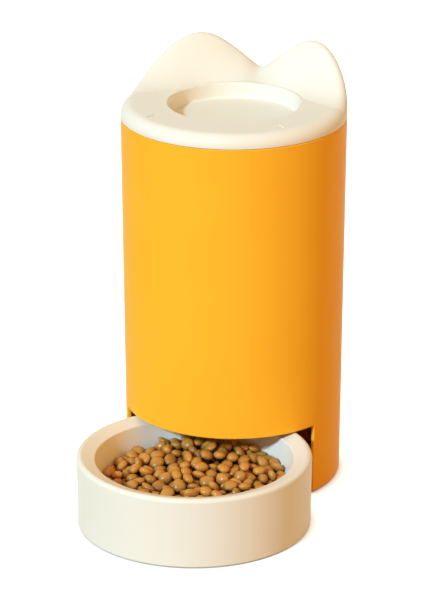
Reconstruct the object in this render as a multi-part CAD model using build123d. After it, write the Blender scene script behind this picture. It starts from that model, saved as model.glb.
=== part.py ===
from build123d import *
from math import atan, cos, exp, hypot, pi, radians, sin, sqrt
import os

# Gravity-fed pet feeder: a drafted round body with a lid, and a bowl standing in a bay under its front.
# Millimetres, +Z up, front at -Y, origin on the floor at the middle of the bounding box.

# Body
BODY_R = 84.0  # outer radius at the lid seam
BODY_FOOT_R = 81.2  # outer radius at the bottom rim
BODY_TOP = 281.0  # lid seam
WALL = 3.0
STAND_OFF = 0.6  # bottom rims above the floor
BAY_HALF_ANGLE = 63.0  # opening for the bowl, either side of the front
BAY_TOP = 55.2
BAY_EDGE = 0.8  # rounding of its outer edges

# Bowl
BOWL_AHEAD = 108.2  # bowl axis in front of the body axis
BOWL_R = 86.8
BOWL_FOOT_R = 85.9
BOWL_TOP = 55.2  # outer edge before its rounding: the rim slopes inwards
BOWL_LIP = 50.7  # inner edge of the rim
BOWL_FLOOR = 12.0
BOWL_FLOOR_R = 64.0  # where wall and floor would meet without their sweep
BOWL_SWEEP = 14.0
BOWL_WALL = 2.6
BOWL_MOUTH_R = 73.2
BOWL_RIM_OUTER = 3.0
BOWL_RIM_INNER = 1.2

# Lid
SEAM = 0.3  # gap between body and lid
LID_TOP = 291.6
LID_EDGE = 8.4  # rounding of the lid's top edge
LID_INNER_EDGE = 3.6
LID_WALL = 2.6
RECESS_R = 49.0
RECESS_DEPTH = 12.0
EAR_PEAK = 31.6  # above the lid's top face
EAR_VALLEY = 4.9
EAR_PEAK_ANGLE = 34.0  # from the back
EAR_END_ANGLE = 90.0
EAR_CLIMB = 0.54  # share of a plain sine in the climb out of the valley, the rest being its square
EAR_FALL = 2.3  # power of the sine that falls from the peak to the end
EAR_SINK = 0.3  # past their ends the ears run this far below the lid's surface
EAR_SET_BACK = 0.05  # outside of the ears within the lid's own wall
EAR_ROUNDING = 3.8  # crest of the ears
EAR_INNER_ROUNDING = 1.2
EAR_FADE = 4.8  # height over which the crest takes on the rounding of the lid's edge
VALLEY_ROUNDING = 6.7
VALLEY_SPREAD = 15.0  # degrees over which that rounding fades
EAR_FOOT_R = 51.0  # where the ears' faces start, behind the recess
EAR_FOOT_END_R = 74.0
EAR_FOOT_ANGLE = 62.0  # from here on that line runs outwards to its end
EAR_FOOT_CURVE = 1.6
EAR_STEEPNESS = 1.5  # slope of a face at its top against its mean slope
EAR_STEP = 7  # degrees between the sections of the ears
LUG_Z = 285.2  # top of the lugs that hold the liner
SLOT_RING_R = 68.8  # two short grooves in the lid's top
SLOT_ANGLE = 44.6  # from the front
SLOT_LEAN = 36.0
SLOT_LENGTH = 9.0
SLOT_WIDTH = 2.4
SLOT_DEPTH = 0.9

# Lid plug
LINER_R = 79.8
LINER_WALL = 2.2
LINER_BOTTOM = 268.0
SEAL_Z = 273.0
SEAL_HEIGHT = 3.4
SEAL_GROOVE = 1.2
SEAL_R = 80.5

# Funnel
LEDGE_Z = 161.0  # shelf inside the body that carries the flange
LEDGE_R = 74.6
FLANGE_R = 79.4
FUNNEL_WALL = 2.0
FUNNEL_R = 74.2
OUTLET_AHEAD = 54.0  # middle of the outlet in front of the body axis
OUTLET_Z = 59.0
OUTLET_HALF_WIDTH = 48.0
OUTLET_HALF_DEPTH = 20.0
COLLAR = 4.0

# Base cover, its screws and the pads
COVER_R = 77.8
COVER_Z = 2.0
COVER_THICK = 2.5
BAY_GAP = 1.9  # between the bowl and the wall behind it
BAY_WALL_TOP = 50.0
BAY_WALL_REACH = 66.0  # its ends, from the body axis
BOSS_RING_R = 68.0
BOSS_ANGLES = (95.0, 140.0, -140.0, -95.0)  # from the front
BOSS_TOP = 24.0
SCREW_R = 1.45
SCREW_HEAD_R = 2.9
SCREW_HEAD = 1.1
PAD_R = 7.0
PAD_SINK = 0.9  # depth of a pad in its seat
TOWER_PADS = ((58.0, -15.0), (22.0, 62.0), (-22.0, 62.0), (-58.0, -15.0))
BOWL_PADS = ((42.0, 42.0), (-42.0, 42.0), (-42.0, -42.0), (42.0, -42.0))

# Food
HEAP_PEAK = 51.0
HEAP_FALL = 26.0  # drop from the peak far away from it
HEAP_SPREAD = 60.0  # distance at which half of that is reached
HEAP_BEHIND = 28.0  # peak behind the bowl's axis
FOOD_GAP = 0.3
FOOD_R = 4.8  # one piece
FOOD_SHOWN = 3.2  # of its height, above the pieces below
FOOD_PITCH = 10.8  # between the pieces that lie on the heap
FOOD_TURN = 137.5  # from one piece to the next around the bowl

COVER_TOP = COVER_Z + COVER_THICK
BAY_R = BOWL_R + BAY_GAP
TOWER_Y = (BOWL_AHEAD + BOWL_R - BODY_R) / 2
BOWL_Y = TOWER_Y - BOWL_AHEAD
UPWARD = (Align.CENTER, Align.CENTER, Align.MIN)


def turned(*corners, sweep=360.0):
    """Turn a closed outline of (radius, height, rounding) corners about Z."""
    points = [(radius, height) for radius, height, rounding in corners]
    roundings = [rounding for radius, height, rounding in corners]
    outline = FilletPolyline(*points, radius=roundings, close=True)
    return revolve(Plane.XZ * make_face(outline), Axis.Z, revolution_arc=sweep)


def post(x, y, bottom, top, radius):
    """Upright cylinder between two heights."""
    return Pos(x, y, bottom) * Cylinder(radius, top - bottom, align=UPWARD)


def around_front(radius, angle):
    """Point on a circle about Z, at an angle from the front."""
    return radius * sin(radians(angle)), -radius * cos(radians(angle))


def inner_radius(height):
    """Inner radius of the drafted body wall."""
    rise = (height - STAND_OFF) / (BODY_TOP - STAND_OFF)
    return BODY_FOOT_R + (BODY_R - BODY_FOOT_R) * rise - WALL


def front_wedge(half_angle, top):
    """Slice of the space in front of the body axis, up to a height."""
    reach = 2 * BODY_R
    x, y = around_front(reach, half_angle)
    slice_face = make_face(Polyline((0, 0), (x, y), (x, -reach), (-x, -reach), (-x, y), close=True))
    return extrude(slice_face, top)


def bay_edges(shell):
    """Outer edges of the bowl bay: both jambs and the lower edge of the front wall."""
    edges = []
    for edge in shell.edges():
        middle = edge @ 0.5
        on_outside = abs(Vector(middle.X, middle.Y).length - inner_radius(middle.Z) - WALL) < 0.1
        if on_outside and middle.Y < 0 and STAND_OFF + 3.0 < middle.Z < BAY_TOP + 0.1:
            edges.append(edge)
    return edges


def body_shell():
    """Drafted tube with the bowl bay, the funnel shelf and the screw bosses."""
    overlap = WALL / 4
    tube = turned(
        (BODY_FOOT_R - WALL, STAND_OFF, 0.5),
        (BODY_FOOT_R, STAND_OFF, 2.2),
        (BODY_R, BODY_TOP, 0.6),
        (BODY_R - WALL, BODY_TOP, 0.8),
    )
    shelf_r = inner_radius(LEDGE_Z) + overlap
    shelf = turned(
        (shelf_r, LEDGE_Z, 0),
        (LEDGE_R, LEDGE_Z, 0),
        (LEDGE_R, LEDGE_Z - 1.6, 0),
        (shelf_r, LEDGE_Z - 7.0, 0),
    )
    shell = tube + shelf
    shell -= front_wedge(BAY_HALF_ANGLE, BAY_TOP)
    shell = fillet(bay_edges(shell), BAY_EDGE)

    catch_z = LEDGE_Z + FUNNEL_WALL + 0.2
    catch_r = inner_radius(catch_z) + overlap
    catch = turned(
        (catch_r, catch_z, 0),
        (FLANGE_R - 0.6, catch_z, 0),
        (catch_r, catch_z + 4.0, 0),
        sweep=8.0,
    )
    for turn in (45.0, 135.0, 225.0, 315.0):
        shell += Rot(0, 0, turn) * catch

    for angle in BOSS_ANGLES:
        x, y = around_front(BOSS_RING_R, angle)
        web_length = inner_radius(COVER_TOP) + overlap - BOSS_RING_R
        web = Pos(0, -BOSS_RING_R, COVER_TOP) * Box(
            2.4, web_length, BOSS_TOP - COVER_TOP, align=(Align.CENTER, Align.MAX, Align.MIN)
        )
        shell += post(x, y, COVER_TOP, BOSS_TOP, 3 * SCREW_R) + Rot(0, 0, angle) * web
        shell -= post(x, y, COVER_TOP, BOSS_TOP - 4.0, SCREW_R)
    return shell


def funnel_form(inset):
    """Oblique form from the round mouth down to the oval outlet, drawn in by the inset."""
    outlet = Pos(0, -OUTLET_AHEAD, OUTLET_Z + COLLAR) * Ellipse(
        OUTLET_HALF_WIDTH - inset, OUTLET_HALF_DEPTH - inset
    )
    mouth = Pos(0, 0, LEDGE_Z + FUNNEL_WALL) * Circle(FUNNEL_R - inset)
    collar = extrude(outlet, -COLLAR)
    return loft([outlet, mouth]) + collar


def food_funnel():
    """Thin funnel with a flange, an outlet collar and two ribs under its long slope."""
    outside = funnel_form(0)
    flange = post(0, 0, LEDGE_Z, LEDGE_Z + FUNNEL_WALL, FLANGE_R)
    rib_drop = 9.0
    rib_space = (Pos(0, 0, -rib_drop) * outside) - outside
    funnel = outside + flange
    for x in (-24.0, 24.0):
        slab = Pos(x, -25.0, OUTLET_Z) * Box(
            FUNNEL_WALL, FUNNEL_R + 25.0, LEDGE_Z - OUTLET_Z, align=(Align.CENTER, Align.MIN, Align.MIN)
        )
        funnel += slab & rib_space
    return funnel - funnel_form(FUNNEL_WALL)


def base_cover():
    """Underside plate with the curved wall behind the bowl, pad seats and screw holes."""
    plate = post(0, 0, COVER_Z, COVER_TOP, COVER_R)
    bay_wall_thick = 2.2
    bay_wall = Pos(0, -BOWL_AHEAD, 0) * post(0, 0, COVER_Z, BAY_WALL_TOP, BAY_R + bay_wall_thick)
    cover = plate + (bay_wall & post(0, 0, COVER_Z, BAY_WALL_TOP, BAY_WALL_REACH))

    gusset_foot = 16.0
    gusset = make_face(
        Polyline(
            (BAY_R + 1.0, COVER_TOP - 1.0),
            (BAY_R + gusset_foot, COVER_TOP - 1.0),
            (BAY_R + 1.0, 0.7 * BAY_WALL_TOP),
            close=True,
        )
    )
    gusset = extrude(Plane.XZ * gusset, 1.0, both=True)
    for turn in (65.0, 90.0, 115.0):
        cover += Pos(0, -BOWL_AHEAD, 0) * Rot(0, 0, turn) * gusset
    cover -= Pos(0, -BOWL_AHEAD, 0) * post(0, 0, 0, BODY_TOP, BAY_R)

    for x, y in TOWER_PADS:
        cover -= post(x, y, 0, COVER_Z + PAD_SINK, PAD_R + 0.2)
    for angle in BOSS_ANGLES:
        x, y = around_front(BOSS_RING_R, angle)
        cover -= post(x, y, 0, COVER_TOP + 1.0, SCREW_R + 0.25)
        cover -= post(x, y, 0, COVER_Z + SCREW_HEAD + 0.1, SCREW_HEAD_R + 0.3)
    return cover


def base_screws():
    """Four pan screws, sunk in the cover, as one group."""
    screws = Part()
    head_top = COVER_Z + SCREW_HEAD + 0.05
    for angle in BOSS_ANGLES:
        x, y = around_front(BOSS_RING_R, angle)
        head = post(x, y, head_top - SCREW_HEAD, head_top, SCREW_HEAD_R)
        screws += head + post(x, y, head_top, BOSS_TOP - 8.0, SCREW_R)
    return screws


def pad(seat):
    """Rubber pad from the floor up into its seat."""
    return turned((0, 0, 0), (PAD_R, 0, 0.8), (PAD_R, seat, 0.3), (0, seat, 0))


def ear_height(angle):
    """Top of the ears above the lid's top face, at an angle from the back."""
    turn = abs(angle)
    if turn < EAR_PEAK_ANGLE:
        climb = sin(radians(90.0 * turn / EAR_PEAK_ANGLE))
        return EAR_VALLEY + (EAR_PEAK - EAR_VALLEY) * (EAR_CLIMB * climb + (1 - EAR_CLIMB) * climb**2)
    if turn > EAR_END_ANGLE:
        return -EAR_SINK
    fall = (EAR_END_ANGLE - turn) / (EAR_END_ANGLE - EAR_PEAK_ANGLE)
    return EAR_PEAK * sin(radians(90.0 * fall)) ** EAR_FALL


def ear_rounding(angle):
    """Rounding of the crest: tight on the ears, softer in the valley and as the lid's edge at the ends."""
    if abs(angle) < EAR_PEAK_ANGLE:
        dip = exp(-((angle / VALLEY_SPREAD) ** 2))
        return EAR_ROUNDING + (VALLEY_ROUNDING - EAR_ROUNDING) * dip
    fade = exp(-max(ear_height(angle), 0.0) / EAR_FADE)
    return EAR_ROUNDING + (LID_EDGE - EAR_ROUNDING) * fade


def ear_foot(angle):
    """Radius at which the ears' faces leave the lid's top face."""
    spread = (abs(angle) - EAR_FOOT_ANGLE) / (EAR_END_ANGLE + EAR_STEP - EAR_FOOT_ANGLE)
    return EAR_FOOT_R + (EAR_FOOT_END_R - EAR_FOOT_R) * min(max(spread, 0.0), 1.0) ** EAR_FOOT_CURVE


def ear_skin(angle, inset):
    """Face and crest of the ears in one radial section, from the foot over the crest to the outside."""
    drop = EAR_STEEPNESS * inset  # the faces slope, so a wall is thicker upright than across
    height = ear_height(angle)
    rounding = max(ear_rounding(angle) - inset, EAR_INNER_ROUNDING)
    foot = Vector(ear_foot(angle) + inset, LID_TOP - EAR_SINK - drop)
    slope = EAR_STEEPNESS * max(height, 0.0) / (BODY_R - foot.X)
    lean = atan(slope)
    half_turn = (lean - radians(90.0)) / 2
    middle = Vector(BODY_R - EAR_SET_BACK - inset - rounding, LID_TOP + height - drop - rounding)
    shoulder = middle + rounding * Vector(-sin(lean), cos(lean))
    crown = middle + rounding * Vector(-sin(half_turn), cos(half_turn))
    reach = shoulder - foot
    foot_handle = foot + Vector(0.4 * reach.X, 0.2 * reach.Y)
    shoulder_handle = shoulder - 0.35 * reach.X * Vector(1, slope)
    face = Bezier(foot, foot_handle, shoulder_handle, shoulder)
    return face, ThreePointArc(shoulder, crown, middle + Vector(rounding, 0))


def ear_section(angle, inset=0.0):
    """Radial section of the ears, or of the hollow inside them where there is an inset."""
    face, crest = ear_skin(angle, inset)
    foot = face @ 0
    outside = crest @ 1
    root = BODY_TOP + SEAM + EAR_SINK
    if inset:
        corners = [(outside.X, root), (foot.X, root)]
    else:  # the root follows the middle of the lid's skin
        side = BODY_R - LID_WALL / 2
        low = LID_TOP - LID_WALL / 2
        corner = LID_EDGE / 2
        corners = [(outside.X, root), (side, root), (side, low - corner), (side - corner, low), (foot.X, low)]
    base = Polyline(outside, *corners, foot)
    return Rot(0, 0, 90.0 - angle) * (Plane.XZ * make_face([face, crest, base]))


def ears(inset=0.0):
    """Both ears in one form, or the hollow inside them, drawn through sections around the back."""
    steps = int(EAR_END_ANGLE) // EAR_STEP + 1
    if inset:
        steps -= 3  # the hollow ends before the ears run out
    return loft([ear_section(step * EAR_STEP, inset) for step in range(-steps, steps + 1)])


def lid_shell():
    """Hollow lid with the hand recess, the ears, two short grooves and lugs for the liner."""
    bottom = BODY_TOP + SEAM
    floor = LID_TOP - RECESS_DEPTH
    inside = BODY_R - LID_WALL
    lid = turned(
        (0, floor - LID_WALL, 0),
        (RECESS_R + LID_WALL, floor - LID_WALL, 3.0),
        (RECESS_R + LID_WALL, LID_TOP - LID_WALL, 0.5),
        (inside, LID_TOP - LID_WALL, LID_INNER_EDGE),
        (inside, bottom, 0),
        (BODY_R, bottom, 0.6),
        (BODY_R, LID_TOP, LID_EDGE),
        (RECESS_R, LID_TOP, 1.2),
        (RECESS_R, floor, 1.6),
        (0, floor, 0),
    )
    lid = lid + ears() - ears(LID_WALL)

    lug = turned(
        (inside + 0.5, LUG_Z - 3.0, 0),
        (inside + 0.5, LUG_Z, 0),
        (LINER_R + 0.3, LUG_Z, 0),
        (LINER_R + 0.3, LUG_Z - 1.0, 0),
        sweep=12.0,
    )
    for turn in range(0, 360, 60):
        lid += Rot(0, 0, turn) * lug
    slot = extrude(SlotOverall(SLOT_LENGTH, SLOT_WIDTH, rotation=90), -SLOT_DEPTH)
    for side in (-1, 1):
        x, y = around_front(SLOT_RING_R, side * SLOT_ANGLE)
        lid -= Pos(x, y, LID_TOP) * Rot(0, 0, side * SLOT_LEAN) * slot
    return lid


def lid_liner():
    """Plug under the lid: a plate with a skirt, a groove for the seal and a bead above the lugs."""
    groove_r = LINER_R - SEAL_GROOVE
    bead = 0.7
    skirt_top = LUG_Z + 2.4
    return turned(
        (0, LINER_BOTTOM, 0),
        (LINER_R, LINER_BOTTOM, 1.0),
        (LINER_R, SEAL_Z, 0),
        (groove_r, SEAL_Z, 0),
        (groove_r, SEAL_Z + SEAL_HEIGHT, 0),
        (LINER_R, SEAL_Z + SEAL_HEIGHT, 0),
        (LINER_R, LUG_Z + 0.1, 0),
        (LINER_R + bead, LUG_Z + 0.1, 0),
        (LINER_R, LUG_Z + 0.1 + 2 * bead, 0),
        (LINER_R, skirt_top, 0),
        (LINER_R - LINER_WALL, skirt_top, 0),
        (LINER_R - LINER_WALL, LINER_BOTTOM + LINER_WALL, 1.0),
        (0, LINER_BOTTOM + LINER_WALL, 0),
    )


def lid_seal():
    """Soft ring in the liner's groove, with a rounded lip towards the body."""
    slack = 0.05
    inner = LINER_R - SEAL_GROOVE + slack
    bottom = SEAL_Z + slack
    top = SEAL_Z + SEAL_HEIGHT - slack
    return turned((inner, bottom, 0), (SEAL_R, bottom, 1.2), (SEAL_R, top, 1.2), (inner, top, 0))


def feeding_bowl():
    """Round bowl with a broad sloping rim, a hollow underside, ribs and posts for its pads."""
    body = turned(
        (0, STAND_OFF, 0),
        (BOWL_FOOT_R, STAND_OFF, 1.2),
        (BOWL_R, BOWL_TOP, BOWL_RIM_OUTER),
        (BOWL_MOUTH_R, BOWL_LIP, BOWL_RIM_INNER),
        (BOWL_FLOOR_R, BOWL_FLOOR, BOWL_SWEEP),
        (0, BOWL_FLOOR, 0),
    )
    rim_drop = 1.4 * BOWL_WALL  # the rim slopes and its edge is rounded, so the hollow ends lower
    hollow = turned(
        (0, 0, 0),
        (BOWL_FOOT_R - BOWL_WALL, 0, 0),
        (BOWL_R - BOWL_WALL, BOWL_TOP - rim_drop, 1.5),
        (BOWL_MOUTH_R + BOWL_WALL, BOWL_LIP - BOWL_WALL, 1.5),
        (BOWL_FLOOR_R + BOWL_WALL, BOWL_FLOOR - BOWL_WALL, BOWL_SWEEP + BOWL_WALL),
        (0, BOWL_FLOOR - BOWL_WALL, 0),
    )
    bowl = body - hollow
    rib = Box(BOWL_R, 1.8, 0.8 * BOWL_TOP, align=(Align.MIN, Align.CENTER, Align.MIN))
    rib = Pos(0, 0, 4.0) * (rib - post(0, 0, 0, BOWL_TOP, 0.8 * BOWL_FLOOR_R))
    for turn in range(0, 360, 45):
        bowl += Rot(0, 0, turn) * rib & hollow
    for x, y in BOWL_PADS:
        bowl += post(x, y, STAND_OFF, BOWL_TOP, PAD_R + 1.5) & hollow
        bowl -= post(x, y, 0, STAND_OFF + PAD_SINK, PAD_R + 0.2)
    return bowl


def heap_height(x, y):
    """Height of the food at a place in the bowl, falling away from the peak."""
    distance = hypot(x, y - HEAP_BEHIND)
    return HEAP_PEAK - HEAP_FALL * distance / (distance + HEAP_SPREAD)


def food_on_top():
    """Pieces of food that lie half sunk on the heap, in a spiral that leaves even gaps."""
    reach = BOWL_FLOOR_R - FOOD_GAP
    pieces = []
    for number in range(1, int(pi * (reach / FOOD_PITCH) ** 2)):
        x, y = around_front(FOOD_PITCH * sqrt(number / pi), FOOD_TURN * number)
        pieces.append(Pos(x, y, heap_height(x, y) - FOOD_R) * Sphere(FOOD_R))
    return pieces


def kibble():
    """Heap of dry food: highest at the back under the body's front wall, clear of the bowl."""
    cavity = turned(
        (0, BOWL_FLOOR + FOOD_GAP, 0),
        (BOWL_FLOOR_R - FOOD_GAP, BOWL_FLOOR + FOOD_GAP, BOWL_SWEEP),
        (BOWL_MOUTH_R - FOOD_GAP, BOWL_LIP, 0),
        (0, BOWL_LIP, 0),
    )
    reach = 2 * BOWL_R
    slope = [(away, heap_height(away, HEAP_BEHIND) - FOOD_SHOWN) for away in range(0, int(reach), 20)]
    far, low = slope[-1]
    outline = [Spline(slope), Polyline((far, low), (far, 0), (0, 0), slope[0])]
    heap = revolve(Plane.XZ * make_face(outline), Axis.Z)
    heap = Pos(0, HEAP_BEHIND, 0) * heap + food_on_top()
    return cavity & heap


PIECES = {
    "body_shell": Pos(0, TOWER_Y, 0) * body_shell(),
    "food_funnel": Pos(0, TOWER_Y, 0) * food_funnel(),
    "base_cover": Pos(0, TOWER_Y, 0) * base_cover(),
    "base_screws": Pos(0, TOWER_Y, 0) * base_screws(),
    "lid_shell": Pos(0, TOWER_Y, 0) * lid_shell(),
    "lid_liner": Pos(0, TOWER_Y, 0) * lid_liner(),
    "lid_seal": Pos(0, TOWER_Y, 0) * lid_seal(),
    "feeding_bowl": Pos(0, BOWL_Y, 0) * feeding_bowl(),
    "kibble": Pos(0, BOWL_Y, 0) * kibble(),
}
for number, (x, y) in enumerate(TOWER_PADS, 1):
    PIECES[f"tower_foot_{number}"] = Pos(x, TOWER_Y + y, 0) * pad(COVER_Z + PAD_SINK)
for number, (x, y) in enumerate(BOWL_PADS, 1):
    PIECES[f"bowl_foot_{number}"] = Pos(x, BOWL_Y + y, 0) * pad(STAND_OFF + PAD_SINK)

os.makedirs("parts", exist_ok=True)
for name, piece in PIECES.items():
    export_step(piece, f"parts/{name}.step")
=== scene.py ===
from math import cos, pi, radians, sin

import bmesh
import bpy
import numpy as np
from mathutils import Euler, Matrix, Vector
from mathutils.bvhtree import BVHTree


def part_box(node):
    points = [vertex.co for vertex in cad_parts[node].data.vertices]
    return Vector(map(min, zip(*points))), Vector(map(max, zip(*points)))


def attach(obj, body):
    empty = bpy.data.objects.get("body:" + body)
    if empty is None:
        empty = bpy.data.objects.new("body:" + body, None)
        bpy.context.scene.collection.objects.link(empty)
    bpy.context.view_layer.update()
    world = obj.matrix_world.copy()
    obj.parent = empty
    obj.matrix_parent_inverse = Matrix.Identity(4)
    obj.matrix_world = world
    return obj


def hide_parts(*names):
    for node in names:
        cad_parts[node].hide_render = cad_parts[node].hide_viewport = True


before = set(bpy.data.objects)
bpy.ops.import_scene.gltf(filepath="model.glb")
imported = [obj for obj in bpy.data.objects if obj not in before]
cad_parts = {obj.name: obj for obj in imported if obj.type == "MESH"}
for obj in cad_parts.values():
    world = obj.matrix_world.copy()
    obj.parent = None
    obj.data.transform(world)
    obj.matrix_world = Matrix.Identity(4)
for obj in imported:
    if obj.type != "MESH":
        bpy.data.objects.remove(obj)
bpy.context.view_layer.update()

# Body shell
# The food store: a drafted tube of orange ABS, moulded in one shot and left open in front for the bowl.
# Four screws hold the base cover in its foot.
millimetre = 0.001


def linear(hex_colour):
    """Linear RGBA from an sRGB hex value."""
    channels = [int(hex_colour[i : i + 2], 16) / 255 for i in (1, 3, 5)]
    return [c / 12.92 if c < 0.04045 else ((c + 0.055) / 1.055) ** 2.4 for c in channels] + [1.0]


def add_node(tree, kind, settings=None, links=None):
    """Add a node, set its properties and sockets, and link its sockets to other nodes' outputs."""
    node = tree.nodes.new(kind)
    for key, value in (settings or {}).items():
        if isinstance(key, str) and key not in node.inputs:
            setattr(node, key, value)
        else:
            node.inputs[key].default_value = value
    for key, output in (links or {}).items():
        tree.links.new(output, node.inputs[key])
    return node


def new_material(name, index_of_refraction=None):
    """Material with a principled shader, and the place on the piece that its patterns read."""
    material = bpy.data.materials.new(name)
    material.use_nodes = True
    tree = material.node_tree
    shader = tree.nodes["Principled BSDF"]
    if index_of_refraction:
        shader.inputs["IOR"].default_value = index_of_refraction
    place = add_node(tree, "ShaderNodeTexCoord").outputs["Object"]
    return material, tree, shader, place


def moulded_abs(name, pale, deep, gloss):
    """Satin ABS: the melt's flow drifts its colour a little, and the mould's grain softens its gloss."""
    material, tree, shader, place = new_material(name, index_of_refraction=1.53)
    flow_size = 70 * millimetre
    flow = add_node(tree, "ShaderNodeTexNoise", {"Scale": 1 / flow_size, "Detail": 3.0}, {"Vector": place})
    shades = {"data_type": "RGBA", 6: linear(deep), 7: linear(pale)}  # 6 and 7 are the colours it mixes
    shade = add_node(tree, "ShaderNodeMix", shades, {0: flow.outputs["Fac"]})
    tree.links.new(shade.outputs[2], shader.inputs["Base Color"])
    sheen_size = 9 * millimetre
    sheen = add_node(tree, "ShaderNodeTexNoise", {"Scale": 1 / sheen_size, "Detail": 4.0}, {"Vector": place})
    satin = {"To Min": 0.4, "To Max": 0.5}
    roughness = add_node(tree, "ShaderNodeMapRange", satin, {"Value": sheen.outputs["Fac"]})
    tree.links.new(roughness.outputs["Result"], shader.inputs["Roughness"])
    grain_size = 1.2 * millimetre  # the real grain is finer: this is as coarse as it has to be to show
    grain = add_node(tree, "ShaderNodeTexNoise", {"Scale": 1 / grain_size}, {"Vector": place})
    grain_relief = {"Strength": 0.25, "Distance": 0.04 * millimetre}
    relief = add_node(tree, "ShaderNodeBump", grain_relief, {"Height": grain.outputs["Fac"]})
    tree.links.new(relief.outputs["Normal"], shader.inputs["Normal"])
    shader.inputs["Specular IOR Level"].default_value = gloss
    shader.inputs["Specular Tint"].default_value = linear(pale)
    return material


def wear(node, material):
    """Give a CAD node one material all over."""
    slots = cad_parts[node].data.materials
    slots.clear()
    slots.append(material)


# The orange is strong and nearly matt: hardly any white shows over it, even along its edges.
orange_abs = moulded_abs("orange_abs_moulded", pale="#fcb630", deep="#f8af2a", gloss=0.05)
wear("body_shell", orange_abs)

# Food funnel
# A thin moulding of the same orange ABS that lies on a shelf inside the body, clipped under four catches.
# It leads the food down to an oval outlet over the bowl.
wear("food_funnel", orange_abs)

# Base cover
# The moulded floor of the body, of the same ABS, with the curved wall behind the bowl.
# It closes the body from below, and the screws go up through it.
wear("base_cover", orange_abs)

# Base screws
# Four pan-head screws of zinc-plated steel, sunk in the base cover and driven up into the body's bosses.
# Each pressed head slopes off at its edge, and has a cross recess for the driver.
screw_ring = 68 * millimetre
screw_angles = (95, 140, -140, -95)  # degrees from the front
screw_sides = 24
head_radius = 2.9 * millimetre
head_flat = 2.2 * millimetre  # radius at which its sloping edge begins
head_side = 0.5 * millimetre  # height at which that edge ends
head_height = 1.1 * millimetre
shank_radius = 1.45 * millimetre
cross_reach = 1.6 * millimetre
cross_half_width = 0.4 * millimetre
cross_depth = 0.8 * millimetre
cross_taper = 0.6  # size of its bottom against its mouth
screw_low, screw_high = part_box("base_screws")
screw_length = screw_high[2] - screw_low[2]
body_low, body_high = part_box("body_shell")
body_axis = (Vector(body_low) + Vector(body_high)) / 2

screw = bmesh.new()
bmesh.ops.create_grid(screw, x_segments=3, y_segments=3, size=1.0)
for corner in screw.verts:
    for axis in (0, 1):  # the grid's lines stand 1 and 1/3 from its middle
        corner.co[axis] *= cross_reach if abs(corner.co[axis]) > 0.5 else 3 * cross_half_width
between = [face for face in screw.faces if min(map(abs, face.calc_center_median().xy)) > cross_half_width]
bmesh.ops.delete(screw, geom=between, context="FACES")
cross = screw.faces[:]
cross_edge = [edge for edge in screw.edges if edge.is_boundary]
bmesh.ops.create_circle(screw, segments=screw_sides, radius=head_flat)
rim = [edge for edge in screw.edges if edge.is_wire]
bmesh.ops.bridge_loops(screw, edges=cross_edge + rim)
recess = bmesh.ops.extrude_face_region(screw, geom=cross)["geom"]
bottom = [item for item in recess if isinstance(item, bmesh.types.BMVert)]
bmesh.ops.scale(screw, vec=(cross_taper, cross_taper, 1), verts=bottom)
bmesh.ops.translate(screw, vec=(0, 0, cross_depth), verts=bottom)
bmesh.ops.delete(screw, geom=cross, context="FACES")
radius_before, height_before = head_flat, 0
head_profile = ((head_radius, head_side), (head_radius, head_height), (shank_radius, head_height))
for radius, height in (*head_profile, (shank_radius, screw_length)):
    pulled = bmesh.ops.extrude_edge_only(screw, edges=rim)["geom"]
    rim = [item for item in pulled if isinstance(item, bmesh.types.BMEdge) and item.is_boundary]
    ring = [item for item in pulled if isinstance(item, bmesh.types.BMVert)]
    share = radius / radius_before
    bmesh.ops.scale(screw, vec=(share, share, 1), verts=ring)
    bmesh.ops.translate(screw, vec=(0, 0, height - height_before), verts=ring)
    radius_before, height_before = radius, height
bmesh.ops.contextual_create(screw, geom=rim)
bmesh.ops.recalc_face_normals(screw, faces=screw.faces)
one_screw = bpy.data.meshes.new("one_screw")
screw.to_mesh(one_screw)
screw.free()

screws = bmesh.new()
for angle in map(radians, screw_angles):
    screws.from_mesh(one_screw)
    screws.verts.ensure_lookup_table()
    newest = screws.verts[-len(one_screw.vertices) :]
    away = Vector((sin(angle), -cos(angle), 0)) * screw_ring
    bmesh.ops.translate(screws, vec=(body_axis.x + away.x, body_axis.y + away.y, screw_low[2]), verts=newest)
screw_mesh = bpy.data.meshes.new("pan_screws")
screws.to_mesh(screw_mesh)
screws.free()
bpy.data.meshes.remove(one_screw)

# Zinc plating is a little cloudy, between bright and matt.
zinc, tree, shader, place = new_material("zinc_plated_steel")
cloud_size = 0.8 * millimetre
cloud = add_node(tree, "ShaderNodeTexNoise", {"Scale": 1 / cloud_size, "Detail": 4.0}, {"Vector": place})
greys = {"data_type": "RGBA", 6: linear("#9a9c9e"), 7: linear("#c3c5c6")}
grey = add_node(tree, "ShaderNodeMix", greys, {0: cloud.outputs["Fac"]})
tree.links.new(grey.outputs[2], shader.inputs["Base Color"])
cloudy = {"To Min": 0.25, "To Max": 0.45}
roughness = add_node(tree, "ShaderNodeMapRange", cloudy, {"Value": cloud.outputs["Fac"]})
tree.links.new(roughness.outputs["Result"], shader.inputs["Roughness"])
shader.inputs["Metallic"].default_value = 1.0
screw_mesh.materials.append(zinc)


def add_piece(name, mesh, node, body):
    """Put a finished mesh in the scene, in place of a CAD node."""
    piece = bpy.data.objects.new(name, mesh)
    bpy.context.scene.collection.objects.link(piece)
    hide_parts(node)
    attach(piece, body)


add_piece("pan_screws", screw_mesh, "base_screws", "tower")

# Tower feet
# Round pads of black rubber, punched from sheet and glued into seats under the base cover.
# They keep the body from sliding on a smooth floor.
pads_per_piece = 4

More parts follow.
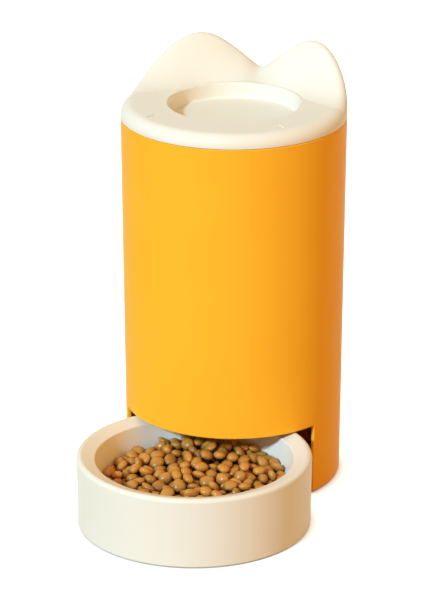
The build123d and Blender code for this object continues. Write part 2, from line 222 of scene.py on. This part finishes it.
# Black rubber is matt: dust greys it in patches, and the cut sheet is finely pitted.
rubber, tree, shader, place = new_material("black_rubber", index_of_refraction=1.52)
dust_size = 3 * millimetre
dust = add_node(tree, "ShaderNodeTexNoise", {"Scale": 1 / dust_size, "Detail": 4.0}, {"Vector": place})
blacks = {"data_type": "RGBA", 6: linear("#1c1c1d"), 7: linear("#2b2a29")}
black = add_node(tree, "ShaderNodeMix", blacks, {0: dust.outputs["Fac"]})
tree.links.new(black.outputs[2], shader.inputs["Base Color"])
matt = {"To Min": 0.65, "To Max": 0.85}
roughness = add_node(tree, "ShaderNodeMapRange", matt, {"Value": dust.outputs["Fac"]})
tree.links.new(roughness.outputs["Result"], shader.inputs["Roughness"])
pit_size = 0.5 * millimetre
pits = add_node(tree, "ShaderNodeTexNoise", {"Scale": 1 / pit_size}, {"Vector": place})
pit_relief = {"Strength": 0.5, "Distance": 0.08 * millimetre}
relief = add_node(tree, "ShaderNodeBump", pit_relief, {"Height": pits.outputs["Fac"]})
tree.links.new(relief.outputs["Normal"], shader.inputs["Normal"])
for number in range(1, pads_per_piece + 1):
    wear(f"tower_foot_{number}", rubber)

# Lid shell
# The cream ABS lid: one moulding with a round hand recess and two ears that sweep up along its back edge.
# It lifts straight off, and lugs inside its rim hold the liner.

# The cream shines a little more than the orange, which shows along its rounded edges.
cream_abs = moulded_abs("cream_abs_moulded", pale="#eae4d5", deep="#e6dfcf", gloss=0.2)
wear("lid_shell", cream_abs)

# Lid liner
# A shallow plug of the same cream ABS, snapped behind the lid's lugs.
# It closes the lid from below, and its groove takes the seal.
wear("lid_liner", cream_abs)

# Lid seal
# A ring of soft silicone, moulded and stretched into the liner's groove.
# Its rounded lip reaches towards the body's inside, and keeps the food dry.

# Milky silicone lets light a little way in, and its moulded skin is half matt.
silicone, tree, shader, place = new_material("milky_silicone", index_of_refraction=1.41)
bloom_size = 6 * millimetre
bloom = add_node(tree, "ShaderNodeTexNoise", {"Scale": 1 / bloom_size, "Detail": 3.0}, {"Vector": place})
milks = {"data_type": "RGBA", 6: linear("#e2ddd2"), 7: linear("#ece8df")}
milk = add_node(tree, "ShaderNodeMix", milks, {0: bloom.outputs["Fac"]})
tree.links.new(milk.outputs[2], shader.inputs["Base Color"])
half_matt = {"To Min": 0.4, "To Max": 0.55}
roughness = add_node(tree, "ShaderNodeMapRange", half_matt, {"Value": bloom.outputs["Fac"]})
tree.links.new(roughness.outputs["Result"], shader.inputs["Roughness"])
shader.inputs["Subsurface Weight"].default_value = 0.15
shader.inputs["Subsurface Radius"].default_value = (2 * millimetre, 1.5 * millimetre, 1.2 * millimetre)
shader.inputs["Subsurface Scale"].default_value = 1.0
wear("lid_seal", silicone)

# Feeding bowl
# A bowl of cream ABS with a broad rim that slopes inwards, and a hollow, ribbed underside.
# It stands free in the bay under the body's front wall, and pulls out forwards.
wear("feeding_bowl", cream_abs)

# Bowl feet
# The same pads of black rubber as under the body, glued into posts under the bowl.
# All pads stand in one plane.
for number in range(1, pads_per_piece + 1):
    wear(f"bowl_foot_{number}", rubber)

# Kibble
# Baked dry food: several hundred puffed oval pieces of about 11 mm that have run down the funnel.
# They lie packed between the bowl's walls and the slope that such food settles to, mostly flat.
piece_half = np.array((6.0, 5.0, 3.2)) * millimetre  # half length, width and thickness
piece_spread = 0.15  # share by which these differ, up or down
piece_tilt = radians(32.0)  # out of level, as a standard deviation
dent_most = 0.3  # depth of the deepest dent, as a share of the piece
dent_power = 3  # the higher, the narrower the dent
wave_most = 0.08  # the same for the waves of its outline
waves_around = 3
heap_fill = 0.64  # share of the heap that is food
heap_peak = 51 * millimetre
heap_behind = 28 * millimetre  # peak behind the bowl's axis
heap_fall = 26 * millimetre  # drop from the peak far away from it
heap_spread = 60 * millimetre  # distance at which half of that is reached
surface_play = 2.4 * millimetre  # how far pieces stand out of the slope or sink in it
shade_start = 1 * millimetre  # below the slope, where the painted shade begins to darken them
shade_depth = 10 * millimetre  # further down, where the painted shade is darkest
least_bake = 0.8  # tone of the darkest piece on top, where the palest has 1
draws_per_piece = 6  # enough, as most of the points drawn miss the heap
push_share = 0.35  # of an overlap, for either piece in each round
packing_rounds = 120
dice = np.random.default_rng(12)

heap = bmesh.new()
heap.from_mesh(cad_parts["kibble"].data)
bmesh.ops.remove_doubles(heap, verts=heap.verts, dist=0.001 * millimetre)
piece_count = int(heap_fill * heap.calc_volume() / (4 / 3 * pi * piece_half.prod()))
heap.free()

bowl_low, bowl_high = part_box("feeding_bowl")
bowl_mouth = (Vector(bowl_low) + Vector(bowl_high)) / 2
bowl_mouth.z = heap_peak
bowl = bmesh.new()
bowl.from_mesh(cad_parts["feeding_bowl"].data)
outside = [face for face in bowl.faces if face.normal.dot(bowl_mouth - face.calc_center_median()) <= 0]
bmesh.ops.delete(bowl, geom=outside, context="FACES")
walls = BVHTree.FromBMesh(bowl)
bowl.free()


def depth_in_bowl(point):
    """Distance of a point from the nearest wall of the bowl, and the direction away from it."""
    wall, inward, _, _ = walls.find_nearest(point)
    return (Vector(point) - wall).dot(inward), np.array(inward)


def in_the_open(point):
    """Whether no wall of the bowl stands between its mouth and a point."""
    way = Vector(point) - bowl_mouth
    return walls.ray_cast(bowl_mouth, way, way.length)[0] is None


def slope_height(points):
    """Height that the food settles to, falling away from the peak."""
    away = np.hypot(points[:, 0] - bowl_mouth.x, points[:, 1] - bowl_mouth.y - heap_behind)
    return heap_peak - heap_fall * away / (away + heap_spread)


def scattered(count):
    """Random points in the bowl, below the slope."""
    low, high = (np.array(corner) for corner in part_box("kibble"))
    points = dice.uniform(low, high, (draws_per_piece * count, 3))
    points = points[points[:, 2] < slope_height(points) - piece_half.min()]
    points = [point for point in points if in_the_open(point) and depth_in_bowl(point)[0] > piece_half.min()]
    return np.array(points[:count])


def push_apart(centres, halves, turns):
    """Move each overlapping pair apart, along the line between their centres."""
    gaps = centres[None] - centres[:, None]
    lengths = np.linalg.norm(gaps, axis=2)
    first, second = np.nonzero(np.triu(lengths < 2 * halves.max(), 1))
    lengths = lengths[first, second]
    ways = gaps[first, second] / lengths[:, None]
    overlap = -lengths
    for side in (first, second):
        along = np.einsum("ni,nij->nj", ways, turns[side])
        overlap += 1 / np.linalg.norm(along / halves[side], axis=1)
    moves = push_share * np.clip(overlap, 0, None)[:, None] * ways
    np.add.at(centres, first, -moves)
    np.add.at(centres, second, moves)


def hold_in(centres, halves, turns, play):
    """Move pieces back that stick out of the slope by more than their play, or into the bowl."""
    tops = np.linalg.norm(halves * turns[:, 2], axis=1)
    centres[:, 2] = np.minimum(centres[:, 2], slope_height(centres) + play - tops)
    for number, centre in enumerate(centres):
        depth, inward = depth_in_bowl(centre)
        needed = np.linalg.norm(halves[number] * (inward @ turns[number]))
        if depth < needed:
            centres[number] += (needed - depth) * inward


def puff(piece):
    """Give a ball a dent and a wavy outline of its own."""
    dent = Vector(dice.normal(0, 1, 3)).normalized()
    dent_depth, wave_depth, wave_start = dice.uniform((0, 0, 0), (dent_most, wave_most, 2 * pi))
    for corner in piece.verts:
        inward = dent_depth * max(corner.co.dot(dent), 0) ** dent_power
        around = Vector((corner.co.x, corner.co.y))
        swell = 0.0
        if around.length > 0.01:  # the poles lie in no direction
            turn = waves_around * around.angle_signed((1, 0)) + wave_start
            swell = wave_depth * cos(turn) * around.length
        corner.co *= 1 - inward + swell


halves = piece_half * dice.uniform(1 - piece_spread, 1 + piece_spread, (piece_count, 3))
poses = [
    Euler((*dice.normal(0, piece_tilt, 2), dice.uniform(0, 2 * pi))).to_matrix() for _ in range(piece_count)
]
turns = np.array(poses)
play = dice.uniform(-surface_play, surface_play, piece_count)
centres = scattered(piece_count)
for _ in range(packing_rounds):
    push_apart(centres, halves, turns)
    hold_in(centres, halves, turns, play)

food = bmesh.new()
piece_mesh = bpy.data.meshes.new("one_piece")
for centre, half, pose in zip(centres, halves, poses):
    piece = bmesh.new()
    bmesh.ops.create_uvsphere(piece, u_segments=8, v_segments=6, radius=1.0)
    puff(piece)
    size = Matrix.Diagonal((*half, 1.0))
    bmesh.ops.transform(piece, matrix=Matrix.Translation(centre) @ pose.to_4x4() @ size, verts=piece.verts)
    piece.to_mesh(piece_mesh)
    piece.free()
    food.from_mesh(piece_mesh)
food_mesh = bpy.data.meshes.new("kibble_pieces")
food.to_mesh(food_mesh)
food.free()
food_mesh.shade_smooth()
corners = np.empty(3 * len(food_mesh.vertices))
food_mesh.vertices.foreach_get("co", corners)
corners = corners.reshape(-1, 3)
# Painted shade: the deeper a corner lies under the slope, the darker its tone.
painted_shade = (slope_height(corners) - corners[:, 2] - shade_start) / shade_depth
bake = np.repeat(dice.uniform(least_bake, 1.0, piece_count), len(piece_mesh.vertices))
tone_and_shade = food_mesh.attributes.new("tone_and_shade", "FLOAT", "POINT")
tone_and_shade.data.foreach_set("value", bake * np.clip(1 - painted_shade, 0, 1))
bpy.data.meshes.remove(piece_mesh)

# A baked crust is brown and crumbly: each piece has its own tone, painted shade darkens pieces deep in the
# heap, and a film of fat makes it shine.
baked, tree, shader, place = new_material("baked_food", index_of_refraction=1.45)
tone_and_shade_in = add_node(tree, "ShaderNodeAttribute", {"attribute_name": "tone_and_shade"})
crumb_size = 1.5 * millimetre
crumb = add_node(tree, "ShaderNodeTexNoise", {"Scale": 1 / crumb_size, "Detail": 4.0}, {"Vector": place})
speck_contrast = 0.3
specks = {"operation": "MULTIPLY_ADD", 1: speck_contrast, 2: -speck_contrast / 2}
speck = add_node(tree, "ShaderNodeMath", specks, {0: crumb.outputs["Fac"]})
tones = {0: tone_and_shade_in.outputs["Fac"], 1: speck.outputs[0]}
tone_shade_and_specks = add_node(tree, "ShaderNodeMath", {"operation": "ADD"}, tones)
# The deep brown shows mostly where the painted shade is darkest.
browns = {"data_type": "RGBA", 6: linear("#3a1604"), 7: linear("#cc8a36")}
brown = add_node(tree, "ShaderNodeMix", browns, {0: tone_shade_and_specks.outputs[0]})
tree.links.new(brown.outputs[2], shader.inputs["Base Color"])
greasy = {"To Min": 0.2, "To Max": 0.3}
roughness = add_node(tree, "ShaderNodeMapRange", greasy, {"Value": crumb.outputs["Fac"]})
tree.links.new(roughness.outputs["Result"], shader.inputs["Roughness"])
crumb_relief = {"Strength": 0.25, "Distance": 0.1 * millimetre}
relief = add_node(tree, "ShaderNodeBump", crumb_relief, {"Height": crumb.outputs["Fac"]})
tree.links.new(relief.outputs["Normal"], shader.inputs["Normal"])
food_mesh.materials.append(baked)
add_piece("kibble_pieces", food_mesh, "kibble", "bowl")

# Floor
# A wide sheet of white paper, laid flat. It shows blank, but for a painted contact shadow where something
# stands on it, and the light that it throws back is as warm as the room's.
floor_half = 6.0
contact_shadow_reach = 7 * millimetre  # how far that painted contact shadow reaches
floor_shape = bmesh.new()
bmesh.ops.create_grid(floor_shape, x_segments=1, y_segments=1, size=floor_half)
floor_mesh = bpy.data.meshes.new("floor")
floor_shape.to_mesh(floor_mesh)
floor_shape.free()
floor = bpy.data.objects.new("floor", floor_mesh)
bpy.context.scene.collection.objects.link(floor)


def seen_directly(tree):
    """1 for rays that show the surroundings, straight or in a reflection, and 0 for bounced light."""
    ray = add_node(tree, "ShaderNodeLightPath").outputs
    either = {"operation": "MAXIMUM"}
    turned_rays = {0: ray["Is Glossy Ray"], 1: ray["Is Transmission Ray"]}
    turned = add_node(tree, "ShaderNodeMath", either, turned_rays)
    shown_rays = {0: ray["Is Camera Ray"], 1: turned.outputs[0]}
    return add_node(tree, "ShaderNodeMath", either, shown_rays).outputs[0]


# White paper has no gloss.
paper, tree, shader, _ = new_material("white_paper")
shader.inputs["Base Color"].default_value = linear("#b3956c")
shader.inputs["Roughness"].default_value = 0.9
shader.inputs["Specular IOR Level"].default_value = 0.0
sheet = add_node(tree, "ShaderNodeBsdfDiffuse", {"Color": linear("#cbcbcb")})
# Painted contact shadow: the sheet's glow dims where ambient occlusion finds something close.
painted_contact_shadow = add_node(tree, "ShaderNodeAmbientOcclusion", {"Distance": contact_shadow_reach})
open_air = {"To Min": 0.0, "To Max": 0.92}  # the lit sheet adds what this lacks to white
whiteness = add_node(tree, "ShaderNodeMapRange", open_air, {"Value": painted_contact_shadow.outputs["AO"]})
glow = add_node(tree, "ShaderNodeEmission", links={"Strength": whiteness.outputs["Result"]})
blank = add_node(tree, "ShaderNodeAddShader", links={0: sheet.outputs[0], 1: glow.outputs[0]})
both = {0: seen_directly(tree), 1: shader.outputs[0], 2: blank.outputs[0]}
surface = add_node(tree, "ShaderNodeMixShader", links=both)
tree.links.new(surface.outputs[0], tree.nodes["Material Output"].inputs["Surface"])
floor_mesh.materials.append(paper)

# Room light
# Warm light from all round, as in a sunlit room.
# What shows of the room itself is a white background.
world = bpy.data.worlds.new("room")
bpy.context.scene.world = world
world.use_nodes = True
tree = world.node_tree
room = tree.nodes["Background"]
room.inputs["Color"].default_value = linear("#d0b283")
white = add_node(tree, "ShaderNodeBackground", {"Color": linear("#ffffff")})
both = {0: seen_directly(tree), 1: room.outputs[0], 2: white.outputs[0]}
surroundings = add_node(tree, "ShaderNodeMixShader", links=both)
tree.links.new(surroundings.outputs[0], tree.nodes["World Output"].inputs["Surface"])

# Key light
# A fairly hard lamp, high on the left of the front.
# Its cool light and the room's warm light add up to white.


def from_front(azimuth, elevation):
    """Direction at an azimuth from the front towards +X, and an elevation above the floor, in degrees."""
    azimuth, elevation = radians(azimuth), radians(elevation)
    return Vector((sin(azimuth) * cos(elevation), -cos(azimuth) * cos(elevation), sin(elevation)))


def add_lamp(name, strength, hex_colour, width, direction):
    """Far lamp of a width in degrees, whose strength of 1 lights a white surface facing it to white."""
    data = bpy.data.lights.new(name, "SUN")
    data.energy = pi * strength
    data.color = linear(hex_colour)[:3]
    data.angle = radians(width)
    lamp = bpy.data.objects.new(name, data)
    bpy.context.scene.collection.objects.link(lamp)
    lamp.rotation_euler = direction.to_track_quat("Z", "Y").to_euler()


add_lamp("key", strength=1.17, hex_colour="#b8e3ff", width=6.0, direction=from_front(-23.0, 31.0))

# Fill light
# A broad warm lamp, low on the right of the front, as from a reflector.
# It opens the shadows and reaches in under the body's front wall.
add_lamp("fill", strength=0.32, hex_colour="#ffb56c", width=80.0, direction=from_front(45.0, 9.0))

# Camera
# A long lens, right of the front and looking down, as in a product shot.
# Its focal length is in pixels of the image, and the target is what the middle of the image shows.
image_height_px = 600
focal_px = 3505.9
view_distance = 2.6471
view_target = Vector((-0.0156, 0.05115, 0.1351))
toward_camera = from_front(15.66, 20.46)

camera_data = bpy.data.cameras.new("camera")
camera_data.sensor_width = 36.0
camera_data.lens = focal_px * camera_data.sensor_width / image_height_px
camera = bpy.data.objects.new("camera", camera_data)
bpy.context.scene.collection.objects.link(camera)
camera.location = view_target + view_distance * toward_camera
camera.rotation_euler = toward_camera.to_track_quat("Z", "Y").to_euler()
bpy.context.scene.camera = camera
bpy.context.scene.view_settings.view_transform = "Standard"
